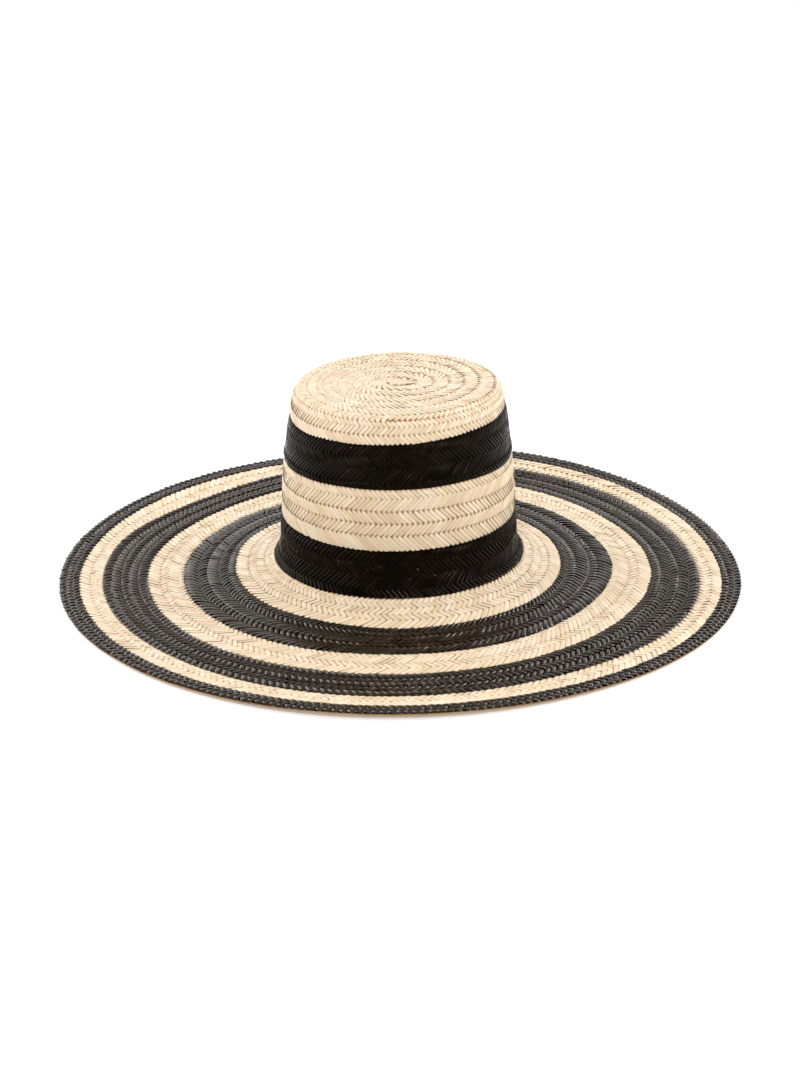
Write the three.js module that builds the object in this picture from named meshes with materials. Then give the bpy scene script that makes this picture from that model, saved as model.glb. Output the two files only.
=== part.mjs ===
// Wide-brimmed straw hat, sewn in rings from plaited straw braid in two colours.
// Millimetres, +Z up. The origin lies on the resting plane, under the middle of the crown.
// -Y is the front and +X is the right.

import * as THREE from 'three';

// Driving sizes
const WALL = 1.8;
const RIM_WALL = 1.1;
const SEAM_GAP = 0.3;
const ROW_RIDGE = 0.55;
const RING_SIDES = 48;

// Where the rim curls up off the resting plane. angle is counted from the right towards the back.
// The curl starts at fromRadius and reaches its height at the rim.
const LIFTS = [
  { place: 'back right', angle: 67, spread: 44, height: 3.9, fromRadius: 205 },
  { place: 'front', angle: 265, spread: 75, height: 2.8, fromRadius: 226 },
];

// The backing under the rim
const BACKING_WALL = 1.1;
const BACKING_INNER_RADIUS = 243;
const BACKING_OUTER_RADIUS = 254.7;

// Sections of the hat's upper surface, from the rim in to the middle of the crown's top.
// radius: distance from the crown's axis
// height: above the resting plane
// lean: how much higher the section is on its right side than over the axis
const SECTIONS = [
  { name: 'rim', radius: 255.0, height: 2.5, lean: 0.0 },
  { name: 'rim_seam', radius: 241.2, height: 2.8, lean: 0.1 },
  { name: 'outer_seam', radius: 222.6, height: 2.8, lean: 0.4 },
  { name: 'middle_seam', radius: 189.2, height: 3.2, lean: 1.0 },
  { name: 'inner_seam', radius: 160.2, height: 4.4, lean: 1.2 },
  { name: 'flare_seam', radius: 122.7, height: 8.3, lean: 0.9 },
  { name: 'foot', radius: 93.6, height: 18.1, lean: 0.9 },
  { name: 'wall_base', radius: 89.3, height: 26.0, lean: 0.8 },
  { name: 'lower_seam', radius: 87.2, height: 52.6, lean: 0.8 },
  { name: 'wall_middle', radius: 86.4, height: 75.0, lean: 1.1 },
  { name: 'middle_wall_seam', radius: 84.0, height: 98.8, lean: 1.6 },
  { name: 'upper_seam', radius: 79.5, height: 131.5, lean: 2.9 },
  { name: 'shoulder_base', radius: 78.0, height: 141.5, lean: 1.7 },
  { name: 'shoulder_seam', radius: 75.2, height: 148.2, lean: 1.1 },
  { name: 'top_edge', radius: 66.0, height: 150.8, lean: 1.0 },
  { name: 'top_middle', radius: 33.0, height: 151.0, lean: 0.5 },
  { name: 'centre', radius: 0.0, height: 151.0, lean: 0.0 },
];

// Colour bands between two sections. rows counts the sewn rows of braid, each a low ridge.
// under counts the straight steps of the lower surface.
const BANDS = [
  { name: 'brim_edge_black', straw: 'black',
    from: 'rim', to: 'rim_seam', rows: 1, under: 1, wall: RIM_WALL },
  { name: 'brim_band_natural_outer', straw: 'natural',
    from: 'rim_seam', to: 'outer_seam', rows: 2, under: 1 },
  { name: 'brim_band_black_outer', straw: 'black',
    from: 'outer_seam', to: 'middle_seam', rows: 3, under: 1 },
  { name: 'brim_band_natural_middle', straw: 'natural',
    from: 'middle_seam', to: 'inner_seam', rows: 3, under: 1 },
  { name: 'brim_band_black_inner', straw: 'black',
    from: 'inner_seam', to: 'flare_seam', rows: 3, under: 2 },
  { name: 'brim_band_natural_inner', straw: 'natural',
    from: 'flare_seam', to: 'foot', rows: 3, under: 3 },
  { name: 'crown_band_black_lower', straw: 'black',
    from: 'foot', to: 'lower_seam', rows: 4, under: 4 },
  { name: 'crown_band_natural_middle', straw: 'natural',
    from: 'lower_seam', to: 'middle_wall_seam', rows: 4, under: 2 },
  { name: 'crown_band_black_upper', straw: 'black',
    from: 'middle_wall_seam', to: 'upper_seam', rows: 3, under: 1 },
  { name: 'crown_band_natural_upper', straw: 'natural',
    from: 'upper_seam', to: 'shoulder_seam', rows: 2, under: 2 },
  { name: 'crown_top', straw: 'natural',
    from: 'shoulder_seam', to: 'centre', rows: 7, under: 4 },
];

const STRAW = {
  natural: { color: 0xe6d0a8, roughness: 0.55, metalness: 0 },
  black: { color: 0x14110f, roughness: 0.35, metalness: 0 },
  backing: { color: 0xc79a5e, roughness: 0.6, metalness: 0 },
};

// The upper surface's line, as x = radius, y = height, z = lean
const upperLine = new THREE.CatmullRomCurve3(
  SECTIONS.map((s) => new THREE.Vector3(s.radius, s.height, s.lean)),
  false,
  'centripetal',
);
upperLine.arcLengthDivisions = 1600;
const LINE_LENGTH = upperLine.getLength();

// Distance along the line from the rim to a named section
function distanceTo(sectionName) {
  const index = SECTIONS.findIndex((s) => s.name === sectionName);
  const lengths = upperLine.getLengths();
  const step = upperLine.arcLengthDivisions / (SECTIONS.length - 1);
  return lengths[Math.round(index * step)];
}

// A point moved off the line by offset along its outward normal, and onto the axis at the line's end
function linePoint(distance, offset) {
  const u = THREE.MathUtils.clamp(distance / LINE_LENGTH, 0, 1);
  const point = upperLine.getPointAt(u);
  const tangent = upperLine.getTangentAt(u);
  const length = Math.hypot(tangent.x, tangent.y);
  return {
    radius: u < 1 ? point.x + (tangent.y / length) * offset : 0,
    height: point.y - (tangent.x / length) * offset,
    lean: point.z,
  };
}

// Points evenly spaced between two distances, each with its own offset
function lineStretch(start, end, steps, offsetAt) {
  const points = [];
  for (let i = 0; i <= steps; i += 1) {
    const distance = THREE.MathUtils.lerp(start, end, i / steps);
    points.push(linePoint(distance, offsetAt(i)));
  }
  return points;
}

// A band's closed section: ridged upper side from start to end, plain lower side back again.
// The middle's section starts and ends on the axis.
function bandSection(band) {
  const wall = band.wall ?? WALL;
  const isMiddle = band.to === 'centre';
  const start = band.from === 'rim' ? 0 : distanceTo(band.from) + SEAM_GAP / 2;
  const end = isMiddle ? LINE_LENGTH : distanceTo(band.to) - SEAM_GAP / 2;
  const upper = lineStretch(start, end, band.rows * 2, (i) => (i % 2 ? ROW_RIDGE : 0));
  const lower = lineStretch(end, start, band.under, () => -wall);
  return isMiddle ? [...lower, ...upper] : [...upper, ...lower, upper[0]];
}

// The backing's closed section: a flat strip that lies on the resting plane
function backingSection() {
  const corner = (radius, height) => ({ radius, height, lean: 0 });
  return [
    corner(BACKING_INNER_RADIUS, 0),
    corner(BACKING_OUTER_RADIUS, 0),
    corner(BACKING_OUTER_RADIUS, BACKING_WALL),
    corner(BACKING_INNER_RADIUS, BACKING_WALL),
    corner(BACKING_INNER_RADIUS, 0),
  ];
}

// How far the brim lifts at a place: a smooth hump at each of the lifts, dying out inwards
function brimLift(x, y) {
  const rimRadius = SECTIONS[0].radius;
  const radius = Math.hypot(x, y);
  const angle = THREE.MathUtils.radToDeg(Math.atan2(y, x));
  let lift = 0;
  for (const { angle: middle, spread, height, fromRadius } of LIFTS) {
    const reach = THREE.MathUtils.smoothstep(radius, fromRadius, rimRadius);
    const away = Math.abs(THREE.MathUtils.euclideanModulo(angle - middle + 180, 360) - 180);
    lift += height * reach * Math.cos((Math.min(away / spread, 1) * Math.PI) / 2) ** 2;
  }
  return lift;
}

// Turns a section about the crown's axis, then leans and lifts it
function ring(name, section, straw) {
  const outline = section.map((p) => new THREE.Vector2(p.radius, p.height));
  const geometry = new THREE.LatheGeometry(outline, RING_SIDES);
  geometry.rotateX(Math.PI / 2);
  const position = geometry.attributes.position;
  for (let i = 0; i < position.count; i += 1) {
    const { radius, lean } = section[i % section.length];
    const x = position.getX(i);
    const y = position.getY(i);
    const leanHere = radius > 0 ? (lean * x) / radius : 0;
    position.setZ(i, position.getZ(i) + leanHere + brimLift(x, y));
  }
  geometry.computeVertexNormals();
  const mesh = new THREE.Mesh(geometry, new THREE.MeshStandardMaterial(STRAW[straw]));
  mesh.name = name;
  return mesh;
}

const hat = new THREE.Group();
for (const band of BANDS) {
  hat.add(ring(band.name, bandSection(band), band.straw));
}
hat.add(ring('brim_edge_backing', backingSection(), 'backing'));

export default hat;
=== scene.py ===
# Looks of a wide-brimmed straw hat, plaited from two colours of straw and sewn in rings.
# Sizes in the tables are millimetres. Blender's objects are in metres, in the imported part's frame:
# +Z up, -Y to the front, +X to the right, the origin on the resting plane under the crown.
import math

import bpy
import numpy as np
from mathutils import Matrix, Vector


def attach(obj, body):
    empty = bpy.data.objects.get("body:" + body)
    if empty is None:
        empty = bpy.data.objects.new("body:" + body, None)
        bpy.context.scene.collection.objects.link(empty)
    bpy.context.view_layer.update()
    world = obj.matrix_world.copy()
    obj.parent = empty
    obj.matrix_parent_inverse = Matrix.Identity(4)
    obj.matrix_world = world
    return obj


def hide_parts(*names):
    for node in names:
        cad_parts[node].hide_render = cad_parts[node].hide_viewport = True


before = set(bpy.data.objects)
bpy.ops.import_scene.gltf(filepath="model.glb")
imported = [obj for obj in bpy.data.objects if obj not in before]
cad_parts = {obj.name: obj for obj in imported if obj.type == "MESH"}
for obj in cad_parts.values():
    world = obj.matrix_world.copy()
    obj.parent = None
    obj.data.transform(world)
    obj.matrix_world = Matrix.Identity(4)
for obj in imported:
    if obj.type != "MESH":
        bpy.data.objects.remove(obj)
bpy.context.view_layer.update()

MM = 0.001
SEED = 20

# Upper surface, from the rim in to the middle of the crown's top, as the part's source has it.
# lean is how much higher the section is on its right side than over the axis.
SECTIONS = [
    # name, radius, height, lean
    ("rim", 255.0, 2.5, 0.0),
    ("rim_seam", 241.2, 2.8, 0.1),
    ("outer_seam", 222.6, 2.8, 0.4),
    ("middle_seam", 189.2, 3.2, 1.0),
    ("inner_seam", 160.2, 4.4, 1.2),
    ("flare_seam", 122.7, 8.3, 0.9),
    ("foot", 93.6, 18.1, 0.9),
    ("wall_base", 89.3, 26.0, 0.8),
    ("lower_seam", 87.2, 52.6, 0.8),
    ("wall_middle", 86.4, 75.0, 1.1),
    ("middle_wall_seam", 84.0, 98.8, 1.6),
    ("upper_seam", 79.5, 131.5, 2.9),
    ("shoulder_base", 78.0, 141.5, 1.7),
    ("shoulder_seam", 75.2, 148.2, 1.1),
    ("top_edge", 66.0, 150.8, 1.0),
    ("top_middle", 33.0, 151.0, 0.5),
    ("centre", 0.0, 151.0, 0.0),
]
BACKING_SECTIONS = [
    ("backing_rim", 254.5, 0.85, 0.0),
    ("backing_seam", 243.0, 0.85, 0.0),
]

# Where the rim curls up off the resting plane. Angles are counted from the right towards the back.
LIFTS = [
    # angle, spread, height, from radius
    (67.0, 44.0, 3.9, 205.0),
    (265.0, 75.0, 2.8, 226.0),
]

# Where the rim stands out of its circle, or in where outward is below zero
BULGE_FROM_RADIUS = 200.0
BULGES = [
    # angle, spread, outward
    (335.0, 38.0, 1.9),
    (13.0, 25.0, -1.2),
    (195.0, 70.0, -0.8),
    (255.0, 45.0, 1.2),
]

# Where a seam wanders inwards from its own ring
SEAM_DRIFTS = [
    # seam, angle, spread, inward
    ("rim_seam", 160.0, 50.0, 1.4),
    ("rim_seam", 10.0, 35.0, 1.0),
    ("rim_seam", 325.0, 32.0, -2.0),
    ("outer_seam", 135.0, 34.0, 9.0),
    ("outer_seam", 25.0, 35.0, 1.8),
    ("outer_seam", 333.0, 40.0, -4.0),
    ("outer_seam", 255.0, 45.0, -1.2),
    ("middle_seam", 28.0, 40.0, 3.0),
    ("middle_seam", 143.0, 36.0, 3.7),
    ("middle_seam", 220.0, 30.0, -1.4),
    ("middle_seam", 302.0, 30.0, -0.9),
    ("inner_seam", 24.0, 30.0, 1.9),
    ("inner_seam", 203.0, 60.0, -2.1),
    ("inner_seam", 270.0, 25.0, 1.0),
    ("inner_seam", 324.0, 32.0, 1.5),
    ("flare_seam", 5.0, 35.0, 1.7),
    ("flare_seam", 148.0, 35.0, -4.3),
    ("flare_seam", 245.0, 35.0, 1.5),
    ("middle_wall_seam", 202.0, 45.0, -1.5),
    ("middle_wall_seam", 340.0, 38.0, -2.3),
    ("upper_seam", 215.0, 38.0, -0.8),
    ("upper_seam", 300.0, 30.0, 0.7),
]

# Small closed waves in the seams and in the edges of columns: their sizes, how many of each kind go
# round the hat, and how strong a kind may be
SEAM_WAVE = 0.35
ROW_WAVE = 0.3
WAVE_COUNTS = np.array([3, 5, 8, 13])
WAVE_SHARES = (0.4, 1.0)

# Columns of straw in each band, from its outer edge inwards.
# turn: +1 where a straw runs outwards as the angle grows, -1 where it runs inwards
# width: across the column, before the columns are stretched to fill their band
# row: whether a sewn row of braid starts there, with its edge on top of the row outside it
COLUMNS = {
    "brim_edge_black": [(1, 4.4, False), (-1, 4.3, False), (1, 4.6, False)],
    "brim_band_natural_outer": [(-1, 8.0, True), (1, 5.0, False), (-1, 6.7, True)],
    "brim_band_black_outer": [
        (1, 6.6, True), (-1, 7.2, False), (1, 5.8, True), (-1, 6.8, False), (1, 6.7, True),
    ],
    "brim_band_natural_middle": [(-1, 9.0, True), (1, 5.6, False), (-1, 9.9, True), (1, 4.7, False)],
    "brim_band_black_inner": [
        (-1, 10.7, True), (1, 5.8, False), (-1, 9.4, True), (1, 5.9, False), (-1, 5.6, False),
    ],
    "brim_band_natural_inner": [
        (-1, 8.6, True), (1, 6.0, False), (-1, 7.0, True), (1, 5.0, False), (-1, 4.6, True),
    ],
    "crown_band_black_lower": [(1, 5.4, True), (-1, 9.8, False), (1, 10.0, True), (-1, 9.8, False)],
    "crown_band_natural_middle": [
        (1, 10.5, True), (-1, 9.0, False), (1, 9.0, True), (-1, 10.5, False), (1, 7.0, True),
    ],
    "crown_band_black_upper": [(1, 3.6, True), (-1, 11.2, False), (1, 8.6, True), (-1, 9.6, False)],
    "crown_band_natural_upper": [(1, 6.6, True), (-1, 6.4, False), (1, 6.0, True)],
}
BANDS = [
    # name, outer seam, inner seam, straws around, colour
    ("brim_edge_black", "rim", "rim_seam", 288, "black"),
    ("brim_band_natural_outer", "rim_seam", "outer_seam", 275, "natural"),
    ("brim_band_black_outer", "outer_seam", "middle_seam", 250, "black"),
    ("brim_band_natural_middle", "middle_seam", "inner_seam", 224, "natural"),
    ("brim_band_black_inner", "inner_seam", "flare_seam", 183, "black"),
    ("brim_band_natural_inner", "flare_seam", "foot", 147, "natural"),
    ("crown_band_black_lower", "foot", "lower_seam", 142, "black"),
    ("crown_band_natural_middle", "lower_seam", "middle_wall_seam", 142, "natural"),
    ("crown_band_black_upper", "middle_wall_seam", "upper_seam", 142, "black"),
    ("crown_band_natural_upper", "upper_seam", "shoulder_seam", 134, "natural"),
]

# The crown's top is one braid wound outwards, of two columns of straw. Its middle is a little oval.
SPIRAL_PITCH = 12.0
SPIRAL_START = -0.03
LEAST_BREADTH_ON_TOP = 1.2
STRAW_PITCH_ON_TOP = 4.2
OVAL_SHARE = 0.3
OVAL_RADIUS = 66.0

# The knot where that braid starts: straws woven square, over and under each other
KNOT_STRAWS = 4
KNOT_STATIONS = 9
KNOT_REACH = 6.0
KNOT_PITCH = 2.7
KNOT_STRAW_WIDTH = 2.6
KNOT_LEVEL = 0.35
KNOT_WAVE = 0.25
KNOT_END_DROP = 0.5
KNOT_END_FROM = 0.95
KNOT_TONES = (0.2, 0.9)
KNOT_ROLL_SPREAD = 0.04

# Sizes of one straw as it lies in the braid. CROWN_SHARES make the straws of some bands flatter.
STRAW_ANGLE = math.radians(45.0)
STRAW_FILL = {"natural": 1.0, "black": 0.97, "backing": 0.97}
STRAW_CROWN = {"natural": 0.26, "black": 0.62, "backing": 0.25}
CROWN_SHARES = {
    "brim_edge_black": 0.7,
    "brim_band_black_inner": 0.55,
    "crown_band_black_lower": 0.6,
    "crown_band_black_upper": 0.6,
    "crown_band_natural_middle": 0.4,
    "crown_band_natural_upper": 0.4,
}
STRAW_THICKNESS = 0.3
# How far straws differ by chance: shares of their width and slant, a share of the pitch, and height
WIDTH_SPREAD = (0.95, 1.05)
SLANT_SPREAD = (0.97, 1.03)
SLIDE_SPREAD = 0.02
LEVEL_SPREAD = 0.05
# How deep straws lie, and how much deeper an end dives under its neighbours and from how far along
BASE_DROP = {"natural": 0.35, "black": 0.35, "backing": 0.1}
DIVE = {"natural": 0.5, "black": 0.6, "backing": 0.2}
DIVE_REACH = 0.42
# How high a straw arches between its ends, how much of that lies over its level, and how near an end
# its steepest part starts, as a share of the column's breadth
BOW = {"natural": 0.4, "black": 0.65, "backing": 0.1}
BOW_LEVEL = 0.6
NEAR_END = 0.16
# How much higher a row's outer edge lies than its inner edge
ROW_STEP = {"natural": 0.2, "black": 0.65, "backing": 0.65}
# Ends at a row's outer edge: how far they drop, how wide they are, and how much of the way they are cut
# along the edge. A fold is cut all the way, a tooth and a notch less and less.
FOLD_DROP = {"natural": 0.4, "black": 0.5, "backing": 0.05}
EDGE_TAPER = {"fold": 1.05, "tooth": 0.96, "notch": 0.75}
EDGE_SHEAR = {"fold": 1.0, "tooth": 0.7, "notch": 0.35}
SHEAR_REACH = 0.4
MOST_SHEAR = 1.3
# A tip is a rounded end that lies on top of the next column
TIP_RISE = {"wall": 0.55, "flat": 0.3}
TIP_DROP = 0.12
TIP_REACH = 0.32
NEAR_TIP_TAPER = 0.96
TIP_TAPER = 0.55
# How far straws tip over sideways, towards their neighbours and by chance
SHINGLE = {"wall": 0.11, "flat": 0.0}
ROLL_SPREAD = {"natural": 0.06, "black": 0.12, "backing": 0.02}
# How much deeper or shallower than the rest a straw's ends may lie
END_SPREAD = (0.65, 1.35)
# How wide a straw still is near an end that dives, and at that end
NEAR_TAPER = {"natural": 0.9, "black": 0.76, "backing": 0.95}
DIVE_TAPER = {"natural": 0.6, "black": 0.6, "backing": 0.8}
# Where along its straw an end in full view is marked, so that only the ends that dive turn brown with painted
# shade
SEEN_MARK = 0.25

# The closed sheet inside the braid, whose dark colour is painted shade in the gaps, and the plain straws on
# the lower side
NET_TOP = {"natural": -0.95, "black": -1.0}
NET_BOTTOM = -1.35
NET_SIDES = 160
NET_STEP = 4.0
NET_END_GAP = 0.4
RIM_NET_TOP = -0.45
RIM_NET_BOTTOM = -0.8
UNDER_OFFSET = -1.75
UNDER_DIP_SHARE = 0.5
RIM_UNDER_OFFSET = -0.95
RIM_UNDER_START = 1.2

# The rim and the backing end in a half round. The rim's straws start this share of the way round it.
RIM_ROUND = 0.5
RIM_FOLD_SHARE = 0.25
BACKING_ROUND = 0.3

# The tan braid under the rim
BACKING_STRAWS = 300
BACKING_FOLD_START = 0.6
BACKING_NET_TOP = -0.35
BACKING_NET_BOTTOM = -0.6

# Rings of points around a straw: across as a share of its half width, up as a share of its crown
# or, below zero, of its thickness
TOP_RING = [(-1.0, 0.0), (-0.7, 0.68), (0.0, 1.0), (0.7, 0.68), (1.0, 0.0), (0.0, -1.0)]
UNDER_RING = [(-1.0, 0.0), (0.0, 1.0), (1.0, 0.0), (0.0, -1.0)]

# The folded edge of a row: a beaded strip over the ends of the straws. SELVAGE_SEAMS are the seams
# where a band starts with one, and inside the brim's black bands each row does.
SELVAGE_SEAMS = ("outer_seam", "middle_wall_seam")
SELVAGE = {"width": 2.4, "height": 0.26, "bead": 0.1}
BACKING_SELVAGE = {"width": 1.9, "height": 0.72, "bead": 0.03}
BACKING_SELVAGE_START = -0.35
BACKING_SELVAGE_LEVEL = -0.1
SELVAGE_SIDES = 6
STATIONS_A_BEAD = 2
SELVAGE_EDGE_MARK = 0.4
SELVAGE_TONE_SWING = 0.3
SELVAGE_TONE_COUNT = 17.0

# How finely the section line and the round of its outer edge are sampled, and how far on either side
# of a place the surface's direction is taken from
STEPS_A_SECTION = 60
ROUND_STEPS = 24
PROBE = 0.5


class Surface:
    """A line turned about the crown's axis. distance runs along the line from its outer edge."""

    def __init__(self, sections, wrap_radius):
        points = np.array([row[1:] for row in sections])
        line = centripetal_line(points, STEPS_A_SECTION)
        steps = np.linalg.norm(np.diff(line, axis=0), axis=1)
        distance = np.concatenate([[0.0], np.cumsum(steps)])
        tangent = np.gradient(line[:, :2], distance, axis=0)
        tangent /= np.linalg.norm(tangent, axis=1)[:, None]
        normal = np.stack([tangent[:, 1], -tangent[:, 0]], axis=1)
        self.seam = {row[0]: distance[i * STEPS_A_SECTION] for i, row in enumerate(sections)}
        # The outer edge goes on as a half round, down to the line's underside
        turn = np.linspace(math.pi, 0.0, ROUND_STEPS + 1)[:-1]
        round_r = line[0, 0] + wrap_radius * np.sin(turn)
        round_h = line[0, 1] + wrap_radius * (np.cos(turn) - 1.0)
        self.distance = np.concatenate([-wrap_radius * turn, distance])
        self.radius = np.concatenate([round_r, line[:, 0]])
        self.height = np.concatenate([round_h, line[:, 1]])
        self.lean = np.concatenate([np.full(len(turn), line[0, 2]), line[:, 2]])
        self.normal_r = np.concatenate([np.sin(turn), normal[:, 0]])
        self.normal_h = np.concatenate([np.cos(turn), normal[:, 1]])

    def radius_at(self, distance):
        return np.interp(distance, self.distance, self.radius)

    def at(self, distance, angle, offset):
        """Points offset from the surface along its normal."""
        radius = self.radius_at(distance) + offset * np.interp(distance, self.distance, self.normal_r)
        radius = radius + bulge(radius, angle)
        height = np.interp(distance, self.distance, self.height)
        height = height + offset * np.interp(distance, self.distance, self.normal_h)
        lean = np.interp(distance, self.distance, self.lean)
        oval = OVAL_SHARE * np.clip(1.0 - radius / OVAL_RADIUS, 0.0, 1.0) ** 2
        x = radius * np.cos(angle) * (1.0 + oval)
        y = radius * np.sin(angle) * (1.0 - oval)
        return np.stack([x, y, height + lean * np.cos(angle) + brim_lift(x, y)], axis=-1)


def centripetal_line(points, steps):
    """Samples a centripetal Catmull-Rom curve through points, with its ends carried on straight."""
    before = 2.0 * points[0] - points[1]
    after = 2.0 * points[-1] - points[-2]
    knots = np.vstack([before, points, after])
    gaps = np.linalg.norm(np.diff(knots, axis=0), axis=1) ** 0.5
    t = np.linspace(0.0, 1.0, steps, endpoint=False)[:, None]
    pieces = []
    for i in range(len(points) - 1):
        p0, p1, p2, p3 = knots[i : i + 4]
        d0, d1, d2 = gaps[i : i + 3]
        start = ((p1 - p0) / d0 - (p2 - p0) / (d0 + d1) + (p2 - p1) / d1) * d1
        end = ((p2 - p1) / d1 - (p3 - p1) / (d1 + d2) + (p3 - p2) / d2) * d1
        cubic = 2.0 * p1 - 2.0 * p2 + start + end
        square = -3.0 * p1 + 3.0 * p2 - 2.0 * start - end
        pieces.append(p1 + start * t + square * t**2 + cubic * t**3)
    pieces.append(points[-1:])
    return np.vstack(pieces)


def hump(angle, middle, spread):
    """1 at the middle, falling smoothly to 0 at spread degrees on either side."""
    away = np.abs((np.degrees(angle) - middle + 180.0) % 360.0 - 180.0)
    return np.cos(np.minimum(away / spread, 1.0) * math.pi / 2) ** 2


def brim_lift(x, y):
    """How far the brim lifts at a place."""
    radius = np.hypot(x, y)
    angle = np.arctan2(y, x)
    lift = 0.0
    for middle, spread, height, from_radius in LIFTS:
        lift = lift + height * reach_to_rim(radius, from_radius) * hump(angle, middle, spread)
    return lift


def reach_to_rim(radius, from_radius):
    """0 up to a radius, rising smoothly to 1 at the rim."""
    share = np.clip((radius - from_radius) / (SECTIONS[0][1] - from_radius), 0.0, 1.0)
    return share * share * (3.0 - 2.0 * share)


def bulge(radius, angle):
    """How far the rim stands out of its circle."""
    outward = sum(row[2] * hump(angle, row[0], row[1]) for row in BULGES)
    return outward * reach_to_rim(radius, BULGE_FROM_RADIUS)


def waves(generator, size):
    """A small closed wave around the hat, as a function of the angle."""
    phases = generator.uniform(0.0, 2.0 * math.pi, len(WAVE_COUNTS))
    shares = generator.uniform(*WAVE_SHARES, len(WAVE_COUNTS)) / np.sqrt(WAVE_COUNTS / WAVE_COUNTS[0])

    def wave(angle):
        terms = [s * np.sin(n * angle + p) for n, p, s in zip(WAVE_COUNTS, phases, shares)]
        return size * sum(terms) / 2.0

    return wave


hat_surface = Surface(SECTIONS, RIM_ROUND)
backing_surface = Surface(BACKING_SECTIONS, BACKING_ROUND)
random = np.random.default_rng(SEED)
seam_waves = {row[0]: waves(random, SEAM_WAVE) for row in SECTIONS}


def seam_at(name):
    """The distance of a seam from the rim, as a function of the angle."""
    base = hat_surface.seam[name]
    drifts = [row[1:] for row in SEAM_DRIFTS if row[0] == name]
    still = name in ("rim", "centre")

    def seam(angle):
        drift = sum(inward * hump(angle, middle, spread) for middle, spread, inward in drifts)
        return base + drift + (0.0 if still else seam_waves[name](angle)) + 0.0 * angle

    return seam


# Faces that meet at more than this keep a sharp edge
SHARP_ANGLE = math.radians(65.0)


class Shells:
    """Collects the closed shells of one piece, then makes its object."""

    def __init__(self):
        self.points = []
        self.marks = []
        self.faces = []
        self.slots = []
        self.count = 0

    def add(self, points, marks, faces, slot):
        """points and marks are rows of three numbers; faces are lists of rows of point numbers."""
        self.points.append(points.reshape(-1, 3))
        self.marks.append(marks.reshape(-1, 3))
        for rows in faces:
            self.faces.extend((rows + self.count).tolist())
            self.slots.extend([slot] * len(rows))
        self.count += len(self.points[-1])

    def make(self, name, materials):
        mesh = bpy.data.meshes.new(name)
        mesh.from_pydata((np.vstack(self.points) * MM).tolist(), [], self.faces)
        mesh.polygons.foreach_set("material_index", self.slots)
        mesh.polygons.foreach_set("use_smooth", [True] * len(mesh.polygons))
        mark = mesh.attributes.new("straw", "FLOAT_VECTOR", "POINT")
        mark.data.foreach_set("vector", np.vstack(self.marks).astype(np.float32).ravel())
        mesh.update()
        mesh.set_sharp_from_angle(angle=SHARP_ANGLE)
        for material in materials:
            mesh.materials.append(material)
        piece = bpy.data.objects.new(name, mesh)
        bpy.context.scene.collection.objects.link(piece)
        return piece


def unit(vectors):
    return vectors / np.linalg.norm(vectors, axis=-1, keepdims=True)


def sweep_straws(shells, slot, centre, up, width, ring, crown, shear, tones, roll, span=(0.0, 1.0)):
    """Adds closed straws.

    centre and up hold a row for each straw, and in it one point for each station.
    crown is how high a straw's middle rises. shear moves its sides along it, one back and one forth.
    span is where the first and the last station are marked along the straw.
    """
    along = unit(np.gradient(centre, axis=1))
    across = unit(np.cross(up, along))
    normal = np.cross(along, across)
    cosine = np.cos(roll)[:, None, None]
    sine = np.sin(roll)[:, None, None]
    across, normal = across * cosine + normal * sine, normal * cosine - across * sine
    n, m = centre.shape[:2]
    k = len(ring)
    points = np.empty((n, m, k, 3))
    marks = np.empty((n, m, k, 3))
    for i, (side, rise) in enumerate(ring):
        sideways = side * width / 2.0
        lift = rise * (crown if rise > 0 else STRAW_THICKNESS)
        moved = across * sideways[..., None] + along * (sideways * shear)[..., None]
        points[:, :, i] = centre + moved + normal * lift
        marks[:, :, i, 0] = np.linspace(*span, m)
        marks[:, :, i, 1] = side
        marks[:, :, i, 2] = tones[:, None]
    index = np.arange(n * m * k).reshape(n, m, k)
    follow = np.roll(index, -1, axis=2)
    sides = np.stack([index[:, :-1], index[:, 1:], follow[:, 1:], follow[:, :-1]], axis=-1)
    faces = [sides.reshape(-1, 4), index[:, 0], index[:, -1, ::-1]]
    shells.add(points, marks, faces, slot)


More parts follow.
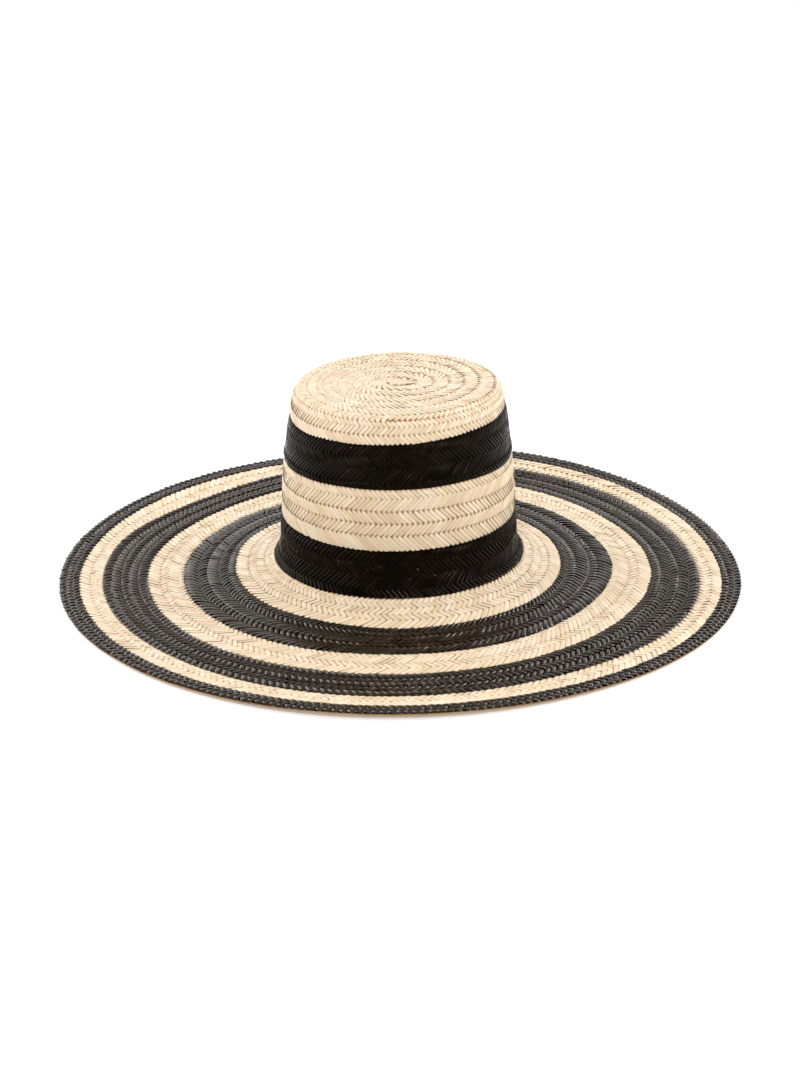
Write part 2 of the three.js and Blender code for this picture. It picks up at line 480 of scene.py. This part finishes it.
def lay_column(shells, slot, surface, phi, outer, inner, turn, pitch, row_share, ends, straw, under=None,
               crown_share=1.0, lie="flat"):
    """Lays one column of slanting straws between two edges, given as functions of the angle.

    phi holds the straws' middle angles. row_share says how far across its row each side of the column lies.
    ends names the outer end, a fold, tooth or notch at a row's edge, or a dive under the neighbours, and
    the inner end, a tip on top of the next column, or a dive.
    straw is the kind of straw: natural, black or backing.
    under is the offset of a column on the lower side. lie says whether the straws lie on a wall or flat.
    """
    n = len(phi)
    outer_dives = ends[0] == "dive"
    has_tip = ends[1] == "tip"
    breadth = inner(phi) - outer(phi)
    middle = surface.radius_at((inner(phi) + outer(phi)) / 2.0)
    width = pitch * math.sin(STRAW_ANGLE) * STRAW_FILL[straw] * random.uniform(*WIDTH_SPREAD, n)
    first = -DIVE_REACH * width / breadth if outer_dives else np.zeros(n)
    last = 1.0 + (TIP_REACH if has_tip else DIVE_REACH) * width / breadth
    # Where the stations lie across the column, as shares of its breadth
    if under is not None:
        v = np.stack([first, np.full(n, 0.5), last], axis=1)
    else:
        near_last = 1.0 if has_tip else 1.0 - NEAR_END
        v = np.stack([first, np.full(n, NEAR_END), np.full(n, 0.5), np.full(n, near_last), last], axis=1)
    half = breadth / middle / math.tan(STRAW_ANGLE) * random.uniform(*SLANT_SPREAD, n)
    slide = random.normal(0.0, SLIDE_SPREAD, n) * pitch / middle
    angle = (phi + slide)[:, None] + turn * (0.5 - v) * half[:, None]
    distance = outer(angle) + v * (inner(angle) - outer(angle))
    # Heights: the row slopes down from its outer edge, and each end dips out of sight
    inside = np.clip(v, 0.0, 1.0)
    across_row = row_share[0] + inside * (row_share[1] - row_share[0])
    level = ROW_STEP[straw] * (1.0 - across_row) - BASE_DROP[straw]
    rise = level + random.normal(0.0, LEVEL_SPREAD, n)[:, None]
    dip = np.zeros_like(v)
    dip[:, 0] = DIVE[straw] if outer_dives else FOLD_DROP[straw]
    dip[:, -1] = TIP_DROP if has_tip else DIVE[straw]
    dip = dip * random.uniform(*END_SPREAD, n)[:, None]
    if has_tip:
        bow = TIP_RISE[lie] * (inside - 0.5)
    else:
        bow = BOW[straw] * (BOW_LEVEL - (2.0 * inside - 1.0) ** 2)
    if under is not None:
        offset = under + UNDER_DIP_SHARE * dip - bow
        up_offset = offset - 1.0
    else:
        offset = rise - dip + bow
        up_offset = offset + 1.0
    centre = surface.at(distance, angle, offset)
    up = surface.at(distance, angle, up_offset) - centre
    taper = np.ones_like(v)
    taper[:, 0] = DIVE_TAPER[straw] if outer_dives else EDGE_TAPER[ends[0]]
    taper[:, -1] = TIP_TAPER if has_tip else DIVE_TAPER[straw]
    if under is None:
        taper[:, 1] = NEAR_TAPER[straw] if outer_dives else 1.0
        taper[:, -2] = NEAR_TIP_TAPER if has_tip else NEAR_TAPER[straw]
    # An end at a row's edge is cut along that edge
    shear = np.zeros_like(v)
    if not outer_dives:
        ahead = surface.at(distance + PROBE, angle, offset)
        behind = surface.at(distance - PROBE, angle, offset)
        inward = unit(ahead - behind)
        along = unit(np.gradient(centre, axis=1))
        across = unit(np.cross(up, along))
        full = -np.sum(across * inward, axis=-1) / np.sum(along * inward, axis=-1)
        fade = np.clip(1.0 - v / SHEAR_REACH, 0.0, 1.0)
        shear = EDGE_SHEAR[ends[0]] * np.clip(full, -MOST_SHEAR, MOST_SHEAR) * fade
    tones = random.uniform(0.0, 1.0, n)
    roll = turn * SHINGLE[lie] + random.normal(0.0, ROLL_SPREAD[straw], n)
    ring = TOP_RING if under is None else UNDER_RING
    crown = STRAW_CROWN[straw] * crown_share
    span = (0.0 if outer_dives else SEEN_MARK, 1.0 - SEEN_MARK if has_tip else 1.0)
    sweep_straws(shells, slot, centre, up, width[:, None] * taper, ring, crown, shear, tones, roll, span)


def add_selvage(shells, slot, surface, edge, beads, offset, width, height, bead):
    """Adds a closed strip that runs all the way round along an edge, with a bead for each folded straw."""
    count = beads * STATIONS_A_BEAD
    angle = (2.0 * math.pi * np.arange(count) / count)[:, None]
    turn = 2.0 * math.pi * np.arange(SELVAGE_SIDES)[None, :] / SELVAGE_SIDES
    swell = 1.0 + bead * np.cos(angle * beads)
    inward = 0.5 * width + 0.5 * width * swell * np.cos(turn)
    points = surface.at(edge(angle) + inward, angle + 0.0 * turn, offset + height * swell * np.sin(turn))
    marks = np.empty(points.shape)
    marks[..., 0] = 0.5 + 0.5 * np.sin(angle * beads)
    marks[..., 1] = SELVAGE_EDGE_MARK * np.cos(turn)
    marks[..., 2] = 0.5 + SELVAGE_TONE_SWING * np.sin(SELVAGE_TONE_COUNT * angle)
    index = np.arange(points.shape[0] * points.shape[1]).reshape(points.shape[:2])
    ahead = np.roll(index, -1, axis=0)
    faces = np.stack([index, np.roll(index, -1, axis=1), np.roll(ahead, -1, axis=1), ahead], axis=-1)
    shells.add(points, marks, [faces.reshape(-1, 4)], slot)


def add_net(shells, slot, surface, outer, inner, top, bottom=NET_BOTTOM):
    """Adds the closed sheet that lies inside the braid; its dark colour is painted shade in the gaps."""
    angles = np.linspace(0.0, 2.0 * math.pi, NET_SIDES, endpoint=False)[:, None]
    steps = max(2, int(np.mean(inner(angles) - outer(angles)) / NET_STEP) + 1)
    share = np.linspace(0.0, 1.0, steps)
    share = np.concatenate([share, share[::-1]])
    offset = np.concatenate([np.full(steps, top), np.full(steps, bottom)])
    distance = outer(angles) + share * (inner(angles) - outer(angles))
    points = surface.at(distance, angles + 0.0 * share, offset + 0.0 * distance)
    marks = np.full(points.shape, 0.5)
    index = np.arange(NET_SIDES * len(share)).reshape(NET_SIDES, len(share))
    ahead = np.roll(index, -1, axis=0)
    faces = np.stack([index, ahead, np.roll(ahead, -1, axis=1), np.roll(index, -1, axis=1)], axis=-1)
    shells.add(points, marks, [faces.reshape(-1, 4)], slot)


def between(outer, inner, share, wave):
    """The edge that lies a share of the way from one seam to the next."""

    def edge(angle):
        return outer(angle) + share * (inner(angle) - outer(angle)) + wave(angle)

    return edge


def row_shares(columns):
    """How far across its own row each column starts and ends."""
    shares = []
    starts = [i for i, column in enumerate(columns) if column[2] or i == 0] + [len(columns)]
    for start, end in zip(starts, starts[1:]):
        widths = np.array([column[1] for column in columns[start:end]])
        marks = np.concatenate([[0.0], np.cumsum(widths)]) / widths.sum()
        shares += list(zip(marks[:-1], marks[1:]))
    return shares


def level_edge(distance):
    """An edge that lies at the same distance all the way round."""

    def edge(angle):
        return distance + 0.0 * angle

    return edge


def column_ends(i, columns, outer_name, is_woven):
    """Says whether a column starts with a beaded edge, and how its outer and its inner end are made."""
    starts_row = columns[i][2]
    has_selvage = starts_row and (outer_name in SELVAGE_SEAMS if i == 0 else not is_woven)
    if has_selvage or (outer_name == "rim" and i == 0):
        outer_end = "fold"
    elif starts_row and i == 0:
        outer_end = "tooth"
    else:
        outer_end = "dive"
    inner_end = "tip" if is_woven and i < len(columns) - 1 else "dive"
    return has_selvage, (outer_end, inner_end)


def build_band(name, outer_name, inner_name, straws, colour):
    """One colour band: straws on top, the net inside and plain straws underneath."""
    columns = COLUMNS[name]
    outer = seam_at(outer_name)
    inner = seam_at(inner_name)
    widths = np.array([column[1] for column in columns])
    marks = np.concatenate([[0.0], np.cumsum(widths)]) / widths.sum()
    edges = [outer]
    edges += [between(outer, inner, mark, waves(random, ROW_WAVE)) for mark in marks[1:-1]]
    edges += [inner]
    shares = row_shares(columns)
    shells = Shells()
    is_rim = outer_name == "rim"
    on_crown = name.startswith("crown")
    is_woven = colour == "natural" or on_crown
    looks = {"crown_share": CROWN_SHARES.get(name, 1.0), "lie": "wall" if on_crown else "flat"}
    net = (RIM_NET_TOP, RIM_NET_BOTTOM) if is_rim else (NET_TOP[colour], NET_BOTTOM)
    add_net(shells, 1, hat_surface, outer, inner, *net)
    under = RIM_UNDER_OFFSET if is_rim else UNDER_OFFSET
    start = hat_surface.seam[outer_name]
    breadth = hat_surface.seam[inner_name] - start
    for i, (turn, _, _) in enumerate(columns):
        phi = 2.0 * math.pi * (np.arange(straws) + 0.5 * (i % 2)) / straws
        is_rim_fold = is_rim and i == 0
        near = level_edge(-RIM_FOLD_SHARE * math.pi * RIM_ROUND) if is_rim_fold else edges[i]
        near_under = level_edge(RIM_UNDER_START) if is_rim_fold else edges[i]
        far = edges[i + 1]
        middle = start + breadth * (marks[i] + marks[i + 1]) / 2.0
        pitch = 2.0 * math.pi * hat_surface.radius_at(middle) / straws
        share = (1.0, 1.0) if is_rim else shares[i]
        has_selvage, ends = column_ends(i, columns, outer_name, is_woven)
        common = (pitch, share, ends)
        lay_column(shells, 0, hat_surface, phi, near, far, turn, *common, colour, **looks)
        lay_column(shells, 2, hat_surface, phi, near_under, far, -turn, *common, "backing", under)
        if has_selvage:
            level = ROW_STEP[colour] - BASE_DROP[colour] - FOLD_DROP[colour] / 2.0
            add_selvage(shells, 0, hat_surface, edges[i], straws, level, **SELVAGE)
    # The crown's black bands take a darker copy of the black straw, whose darker tones are painted shade.
    finish = "shaded_crown_black" if name.startswith("crown_band_black") else colour
    return shells.make(name + "_braid", [material[finish], material[colour + "_shade_net"], material["backing"]])


def build_backing():
    """The tan braid sewn under the rim."""
    shells = Shells()
    end = backing_surface.seam["backing_seam"]
    rim = level_edge(0.0)
    fold = level_edge(BACKING_FOLD_START)
    halfway = level_edge(end / 2.0)
    inner = level_edge(end)
    add_net(shells, 1, backing_surface, rim, inner, BACKING_NET_TOP, BACKING_NET_BOTTOM)
    pitch = 2.0 * math.pi * SECTIONS[0][1] / BACKING_STRAWS
    columns = [
        # outer edge, inner edge, turn, ends
        (fold, halfway, 1, ("fold", "dive")),
        (halfway, inner, -1, ("dive", "dive")),
    ]
    for i, (near, far, turn, ends) in enumerate(columns):
        phi = 2.0 * math.pi * (np.arange(BACKING_STRAWS) + 0.5 * i) / BACKING_STRAWS
        lay_column(shells, 0, backing_surface, phi, near, far, turn, pitch, (1.0, 1.0), ends, "backing")
    edge = level_edge(BACKING_SELVAGE_START)
    add_selvage(shells, 0, backing_surface, edge, BACKING_STRAWS, BACKING_SELVAGE_LEVEL, **BACKING_SELVAGE)
    return shells.make("brim_edge_backing_braid", [material["backing"], material["natural_shade_net"]])


def build_crown_top():
    """The top: one braid of two columns, wound out from the knot in the middle to the shoulder."""
    shells = Shells()
    end = hat_surface.seam["centre"]
    shoulder = seam_at("shoulder_seam")
    limit = end - hat_surface.seam["shoulder_seam"]
    add_net(shells, 1, hat_surface, shoulder, level_edge(end - NET_END_GAP), NET_TOP["natural"])

    def spiral(shift):
        # A line wound outwards, held inside the shoulder
        def edge(angle):
            wound = SPIRAL_PITCH * (angle / (2.0 * math.pi) + shift)
            return np.maximum(end - wound, shoulder(angle))

        return edge

    steps = [2.0 * math.pi * SPIRAL_START]
    while steps[-1] < 2.0 * math.pi * limit / SPIRAL_PITCH:
        radius = SPIRAL_PITCH * (steps[-1] / (2.0 * math.pi) + 0.5)
        steps.append(steps[-1] + STRAW_PITCH_ON_TOP / radius)
    steps = np.array(steps)
    columns = [
        # middle angles, turn, where across the row it starts and ends, ends
        (steps, 1, (0.0, 0.5), ("notch", "tip")),
        ((steps[:-1] + steps[1:]) / 2.0, -1, (0.5, 1.0), ("dive", "dive")),
    ]
    for angles, turn, share, ends in columns:
        outer = spiral(1.0 - share[0])
        inner = spiral(1.0 - share[1])
        phi = angles[inner(angles) - outer(angles) > LEAST_BREADTH_ON_TOP]
        common = (STRAW_PITCH_ON_TOP, share, ends)
        lay_column(shells, 0, hat_surface, phi, outer, inner, turn, *common, "natural")
        lay_column(shells, 2, hat_surface, phi, outer, inner, -turn, *common, "backing", UNDER_OFFSET)
    add_knot(shells, 0)
    return shells.make("crown_top_braid", [material["natural"], material["natural_shade_net"], material["backing"]])


def add_knot(shells, slot):
    """Short straws woven over and under each other, in two directions, where the braid starts."""
    reach = np.linspace(-KNOT_REACH, KNOT_REACH, KNOT_STATIONS)
    is_end = np.abs(reach) > KNOT_END_FROM * KNOT_REACH
    level = SECTIONS[-1][2] + KNOT_LEVEL
    crown = STRAW_CROWN["natural"]
    span = (SEEN_MARK, 1.0 - SEEN_MARK)
    for direction in (0, 1):
        centre = np.zeros((KNOT_STRAWS, KNOT_STATIONS, 3))
        for i in range(KNOT_STRAWS):
            phase = reach / KNOT_PITCH + 0.5 + i + direction
            centre[i, :, direction] = reach
            centre[i, :, 1 - direction] = KNOT_PITCH * (i - (KNOT_STRAWS - 1) / 2.0)
            centre[i, :, 2] = level + KNOT_WAVE * np.cos(math.pi * phase) - KNOT_END_DROP * is_end
        up = np.zeros_like(centre)
        up[..., 2] = 1.0
        widths = np.full(centre.shape[:2], KNOT_STRAW_WIDTH)
        tones = random.uniform(*KNOT_TONES, KNOT_STRAWS)
        roll = random.normal(0.0, KNOT_ROLL_SPREAD, KNOT_STRAWS)
        no_shear = np.zeros(centre.shape[:2])
        sweep_straws(shells, slot, centre, up, widths, TOP_RING, crown, no_shear, tones, roll, span)


# Looks of the kinds of straw. tones are the stops of a colour ramp: position, red, green, blue.
# The edge share is how far out the painted shade on a straw's edges starts, and the edge tint is its colour;
# the end tint is the painted shade on ends that dive. roughness runs from streak to streak.
# relief is the strength and the depth of the fibres' bump. sheen is its weight and its tint.
STRAWS = {
    "natural": {
        "tones": [
            (0.0, 0.67, 0.51, 0.335),
            (0.35, 0.76, 0.615, 0.435),
            (0.7, 0.825, 0.69, 0.52),
            (1.0, 0.885, 0.775, 0.63),
        ],
        "edge_shade_tint": (0.82, 0.66, 0.47, 1.0),
        "edge_shade_share": 0.78,
        "end_shade_tint": (0.5, 0.29, 0.13, 1.0),
        "roughness": (0.3, 0.42),
        "ior": 1.45,
        "relief": (0.9, 0.0005),
    },
    "black": {
        "tones": [(0.0, 0.003, 0.0018, 0.001), (0.6, 0.006, 0.004, 0.002), (1.0, 0.015, 0.008, 0.004)],
        "edge_shade_tint": (0.7, 0.65, 0.6, 1.0),
        "edge_shade_share": 0.7,
        "roughness": (0.12, 0.26),
        "ior": 1.42,
        "relief": (0.25, 0.0002),
        "sheen": (0.03, (1.0, 0.62, 0.38, 1.0)),
    },
    # A darker copy of the black straw for the crown's bands; its darker tones are painted shade.
    "shaded_crown_black": {
        "tones": [(0.0, 0.001, 0.0007, 0.0005), (0.6, 0.003, 0.0018, 0.001), (1.0, 0.01, 0.005, 0.0022)],
        "edge_shade_tint": (0.7, 0.65, 0.6, 1.0),
        "edge_shade_share": 0.7,
        "fleck": (0.35, 0.2, 0.09, 1.0),
        "roughness": (0.04, 0.13),
        "ior": 1.15,
        "relief": (0.35, 0.0002),
        "sheen": (0.012, (1.0, 0.62, 0.38, 1.0)),
    },
    # The underside's straw, also the tan braid under the rim: natural straw whose brown tones are painted
    # shade.
    "backing": {
        "tones": [(0.0, 0.26, 0.14, 0.055), (0.5, 0.36, 0.21, 0.095), (1.0, 0.47, 0.3, 0.15)],
        "edge_shade_tint": (0.6, 0.48, 0.36, 1.0),
        "edge_shade_share": 0.6,
        "roughness": (0.5, 0.65),
        "ior": 1.4,
        "relief": (0.25, 0.0002),
    },
}
WARM_GLOSS = (1.0, 0.84, 0.66, 1.0)

# Noises: scale, detail. Fibres are stretched along the straw, and each straw has its own.
FIBRE_NOISE = (3.0, 4.0)
FIBRE_STRETCH = (0.8, 2.6, 40.0)
FIBRE_RANGE = (0.3, 0.7)
FIBRE_TINT = (0.9, 0.86, 0.8, 1.0)
PATCH_NOISE = (16.0, 3.0)
FLECK_NOISE = (420.0, 1.0)
FLECK_RANGE = (0.79, 0.82)
NET_NOISE = (300.0, 3.0)
NET_RANGE = (0.35, 0.65)
FLOOR_NOISE = (3.0, 2.0)

# How much of a straw's place in its ramp comes from the patch it lies in and from its own tone
PATCH_SHARE = 0.5
TONE_SHARE = 0.6
# Where a straw's ends turn brown with painted shade, as distances from its middle
END_SHADE_REACH = (0.27, 0.4)

# The inside of the braid, coloured as painted shade: darkest colour, lightest colour, roughness
SHADE_NETS = {
    "natural_shade_net": ((0.34, 0.18, 0.07), (0.48, 0.28, 0.12), 0.8),
    "black_shade_net": ((0.002, 0.0015, 0.001), (0.004, 0.003, 0.002), 0.9),
}

# The floor glows a little, as painted light that lightens the shade around the hat, and more towards the
# backdrop
FLOOR_TONES = [(0.3, 0.74, 0.74, 0.74), (0.7, 0.76, 0.76, 0.76)]
FLOOR_PAINTED_GLOW = (0.28, 0.75)
FLOOR_PAINTED_GLOW_REACH = (0.6, 3.0)


def new_material(name):
    """A new material with its nodes, links and shader."""
    made = bpy.data.materials.new(name)
    made.use_nodes = True
    nodes = made.node_tree.nodes
    shader = nodes["Principled BSDF"]
    return made, nodes, made.node_tree.links, shader


def feed(links, value, socket):
    """Links another node's output to a socket, or sets the socket where value is a number or a colour."""
    if isinstance(value, bpy.types.NodeSocket):
        links.new(value, socket)
    else:
        socket.default_value = value


def ramp(nodes, links, factor, stops):
    """A colour ramp driven by a factor. stops are (position, red, green, blue)."""
    node = nodes.new("ShaderNodeValToRGB")
    elements = node.color_ramp.elements
    while len(elements) < len(stops):
        elements.new(0.5)
    for element, (position, red, green, blue) in zip(elements, stops):
        element.position = position
        element.color = (red, green, blue, 1.0)
    links.new(factor, node.inputs["Fac"])
    return node.outputs["Color"]


def noise(nodes, links, vector, scale, detail, stretch=(1.0, 1.0, 1.0)):
    """A noise texture over a vector that is stretched first."""
    mapping = nodes.new("ShaderNodeMapping")
    mapping.inputs["Scale"].default_value = stretch
    texture = nodes.new("ShaderNodeTexNoise")
    texture.inputs["Scale"].default_value = scale
    texture.inputs["Detail"].default_value = detail
    links.new(vector, mapping.inputs["Vector"])
    links.new(mapping.outputs["Vector"], texture.inputs["Vector"])
    return texture.outputs["Fac"]


def mix(nodes, links, blend, factor, first, second):
    """A mix of two colours. The node's sockets 6 and 7 are its two colours."""
    node = nodes.new("ShaderNodeMix")
    node.data_type = "RGBA"
    node.blend_type = blend
    feed(links, factor, node.inputs["Factor"])
    feed(links, first, node.inputs[6])
    feed(links, second, node.inputs[7])
    return node.outputs[2]


def map_range(nodes, links, value, from_min, from_max, to_min, to_max):
    """A value carried from one range to another, and held inside it."""
    node = nodes.new("ShaderNodeMapRange")
    node.inputs["From Min"].default_value = from_min
    node.inputs["From Max"].default_value = from_max
    node.inputs["To Min"].default_value = to_min
    node.inputs["To Max"].default_value = to_max
    links.new(value, node.inputs["Value"])
    return node.outputs["Result"]


def calculate(nodes, links, operation, *values):
    """A math node. values are other nodes' outputs or numbers."""
    node = nodes.new("ShaderNodeMath")
    node.operation = operation
    for socket, value in zip(node.inputs, values):
        feed(links, value, socket)
    return node.outputs["Value"]


def straw_material(name, look):
    """Straw: its own tone, fine lengthwise fibres, painted shade at its edges and at the ends that dive under
    its neighbours, and a satin sheen.
    """
    made, nodes, links, shader = new_material(name)
    mark = nodes.new("ShaderNodeAttribute")
    mark.attribute_name = "straw"
    split = nodes.new("ShaderNodeSeparateXYZ")
    links.new(mark.outputs["Vector"], split.inputs["Vector"])
    place = nodes.new("ShaderNodeTexCoord").outputs["Object"]
    fibres = noise(nodes, links, mark.outputs["Vector"], *FIBRE_NOISE, FIBRE_STRETCH)
    patches = noise(nodes, links, place, *PATCH_NOISE)
    own_tone = map_range(nodes, links, split.outputs["Z"], 0.0, 1.0, 0.0, TONE_SHARE)
    tone = calculate(nodes, links, "MULTIPLY_ADD", patches, PATCH_SHARE, own_tone)
    colour = ramp(nodes, links, tone, look["tones"])
    streaks = map_range(nodes, links, fibres, *FIBRE_RANGE, 0.0, 1.0)
    colour = mix(nodes, links, "MULTIPLY", streaks, colour, FIBRE_TINT)
    # Painted shade: darker towards the straw's edges, where the gaps between straws lie in shade.
    side = calculate(nodes, links, "ABSOLUTE", split.outputs["Y"])
    edge = map_range(nodes, links, side, look["edge_shade_share"], 1.0, 0.0, 1.0)
    colour = mix(nodes, links, "MULTIPLY", edge, colour, look["edge_shade_tint"])
    # Painted shade: the ends that dive under their neighbours turn brown.
    if "end_shade_tint" in look:
        from_middle = calculate(nodes, links, "SUBTRACT", split.outputs["X"], 0.5)
        away = calculate(nodes, links, "ABSOLUTE", from_middle)
        end = map_range(nodes, links, away, *END_SHADE_REACH, 0.0, 1.0)
        colour = mix(nodes, links, "MULTIPLY", end, colour, look["end_shade_tint"])
    if "fleck" in look:
        specks = noise(nodes, links, place, *FLECK_NOISE)
        spots = map_range(nodes, links, specks, *FLECK_RANGE, 0.0, 1.0)
        colour = mix(nodes, links, "MIX", spots, colour, look["fleck"])
    links.new(colour, shader.inputs["Base Color"])
    roughness = map_range(nodes, links, fibres, *FIBRE_RANGE, *look["roughness"])
    links.new(roughness, shader.inputs["Roughness"])
    shader.inputs["IOR"].default_value = look["ior"]
    shader.inputs["Specular Tint"].default_value = WARM_GLOSS
    if "sheen" in look:
        shader.inputs["Sheen Weight"].default_value = look["sheen"][0]
        shader.inputs["Sheen Tint"].default_value = look["sheen"][1]
    bump = nodes.new("ShaderNodeBump")
    bump.inputs["Strength"].default_value = look["relief"][0]
    bump.inputs["Distance"].default_value = look["relief"][1]
    links.new(fibres, bump.inputs["Height"])
    links.new(bump.outputs["Normal"], shader.inputs["Normal"])
    return made


def shade_net_material(name, dark, light, roughness):
    """The inside of the braid, seen only through its gaps, in a dark colour that is painted shade."""
    made, nodes, links, shader = new_material(name)
    place = nodes.new("ShaderNodeTexCoord").outputs["Object"]
    patches = noise(nodes, links, place, *NET_NOISE)
    stops = [(NET_RANGE[0], *dark), (NET_RANGE[1], *light)]
    links.new(ramp(nodes, links, patches, stops), shader.inputs["Base Color"])
    shader.inputs["Roughness"].default_value = roughness
    shader.inputs["Specular IOR Level"].default_value = 0.0
    return made


def floor_material():
    """A pale matt floor that glows as painted light, more towards the backdrop."""
    made, nodes, links, shader = new_material("pale_floor")
    place = nodes.new("ShaderNodeTexCoord").outputs["Object"]
    patches = noise(nodes, links, place, *FLOOR_NOISE)
    links.new(ramp(nodes, links, patches, FLOOR_TONES), shader.inputs["Base Color"])
    shader.inputs["Emission Color"].default_value = (1.0, 1.0, 1.0, 1.0)
    away = nodes.new("ShaderNodeVectorMath")
    away.operation = "LENGTH"
    links.new(place, away.inputs[0])
    # Painted light: the floor's glow lightens the shade the hat casts on it.
    painted_glow = map_range(nodes, links, away.outputs["Value"], *FLOOR_PAINTED_GLOW_REACH, *FLOOR_PAINTED_GLOW)
    links.new(painted_glow, shader.inputs["Emission Strength"])
    shader.inputs["Roughness"].default_value = 1.0
    shader.inputs["Specular IOR Level"].default_value = 0.0
    return made


material = {kind: straw_material(kind + "_straw", look) for kind, look in STRAWS.items()}
for name, (dark, light, roughness) in SHADE_NETS.items():
    material[name] = shade_net_material(name, dark, light, roughness)

# Pieces
SLOTS = {"natural": "natural_straw", "black": "black_straw"}
pieces = []
for name, outer_name, inner_name, straws, colour in BANDS:
    pieces.append((build_band(name, outer_name, inner_name, straws, colour), name, SLOTS[colour]))
pieces.append((build_crown_top(), "crown_top", "natural_straw"))
pieces.append((build_backing(), "brim_edge_backing", "backing_straw"))
for piece, node, slot in pieces:
    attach(piece, "root")
    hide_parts(node)

# Floor, camera and light. The camera stands at its distance from a point over the resting plane, and
# the photo shows that point a little left of its middle and below it.
FLOOR_HALF = 8.0
PHOTO_HEIGHT = 1068
FOCAL_PIXELS = 2963.0
CAMERA_DISTANCE = 2.232
CAMERA_ELEVATION = math.radians(23.0)
AIM_HEIGHT = 0.0024
AIM_PIXELS_LEFT = 1.3
AIM_PIXELS_BELOW = 34.4
CAMERA_ROLL = math.radians(-0.6)
SENSOR = 36.0


def build_floor():
    half = FLOOR_HALF
    mesh = bpy.data.meshes.new("floor")
    corners = [(-half, -half, 0.0), (half, -half, 0.0), (half, half, 0.0), (-half, half, 0.0)]
    mesh.from_pydata(corners, [], [(0, 1, 2, 3)])
    mesh.materials.append(floor_material())
    floor = bpy.data.objects.new("floor", mesh)
    bpy.context.scene.collection.objects.link(floor)


def build_camera():
    data = bpy.data.cameras.new("camera")
    data.sensor_width = SENSOR
    data.lens = FOCAL_PIXELS * SENSOR / PHOTO_HEIGHT
    camera = bpy.data.objects.new("camera", data)
    bpy.context.scene.collection.objects.link(camera)
    back = CAMERA_DISTANCE * math.cos(CAMERA_ELEVATION)
    camera.location = (0.0, -back, AIM_HEIGHT + CAMERA_DISTANCE * math.sin(CAMERA_ELEVATION))
    down = CAMERA_ELEVATION - math.atan(AIM_PIXELS_BELOW / FOCAL_PIXELS)
    aside = math.atan(AIM_PIXELS_LEFT / FOCAL_PIXELS)
    look = Matrix.Rotation(-aside, 4, "Z") @ Matrix.Rotation(math.pi / 2 - down, 4, "X")
    camera.rotation_euler = (look @ Matrix.Rotation(CAMERA_ROLL, 4, "Z")).to_euler()
    bpy.context.scene.camera = camera


# Area lights, in metres and watts
LIGHTS = [
    # name, place, size, power
    ("overhead", (0.0, 0.2, 2.2), (2.0, 1.4), 7.0),
    ("back_left", (-0.9, 1.0, 0.85), (0.7, 0.7), 5.0),
    ("back_right", (0.9, 1.0, 0.85), (0.35, 0.35), 4.0),
    ("front_high", (0.1, -1.6, 1.45), (0.8, 0.5), 24.5),
    ("front_spark", (0.0, -1.9, 0.28), (0.08, 0.08), 3.5),
    ("left_side", (-1.7, 0.0, 1.1), (1.4, 1.3), 18.0),
    ("right_side", (1.7, 0.0, 1.1), (1.4, 1.3), 18.0),
]
LIT_PLACE = Vector((0.0, 0.0, 0.08))


def build_light(name, place, size, power):
    data = bpy.data.lights.new(name, "AREA")
    data.shape = "RECTANGLE"
    data.size, data.size_y = size
    data.energy = power
    light = bpy.data.objects.new(name, data)
    light.location = place
    light.rotation_euler = (LIT_PLACE - Vector(place)).to_track_quat("-Z", "Y").to_euler()
    bpy.context.scene.collection.objects.link(light)


# The studio's brightness in front and behind, where it turns from one to the other, how much the two
# sides count as behind, and how much is left overhead and from what height on
WORLD_BRIGHTNESS = (0.08, 1.25)
WORLD_TURN = (-0.3, 0.5)
WORLD_SIDE_SHARE = 0.6
WORLD_TOP_SHARE = 0.35
WORLD_TOP_HEIGHTS = (0.45, 0.85)


def build_world():
    """A studio that is bright behind and beside the hat, and darker above and in front."""
    world = bpy.data.worlds.new("studio")
    world.use_nodes = True
    nodes = world.node_tree.nodes
    links = world.node_tree.links
    background = nodes["Background"]
    background.inputs["Color"].default_value = (1.0, 1.0, 1.0, 1.0)
    direction = nodes.new("ShaderNodeSeparateXYZ")
    links.new(nodes.new("ShaderNodeTexCoord").outputs["Generated"], direction.inputs["Vector"])
    side = calculate(nodes, links, "ABSOLUTE", direction.outputs["X"])
    behind = calculate(nodes, links, "MULTIPLY_ADD", side, WORLD_SIDE_SHARE, direction.outputs["Y"])
    around = map_range(nodes, links, behind, *WORLD_TURN, *WORLD_BRIGHTNESS)
    upwards = map_range(nodes, links, direction.outputs["Z"], *WORLD_TOP_HEIGHTS, 1.0, WORLD_TOP_SHARE)
    strength = calculate(nodes, links, "MULTIPLY", around, upwards)
    links.new(strength, background.inputs["Strength"])
    bpy.context.scene.world = world
    bpy.context.scene.view_settings.view_transform = "Standard"


build_floor()
build_camera()
build_world()
for name, place, size, power in LIGHTS:
    build_light(name, place, size, power)
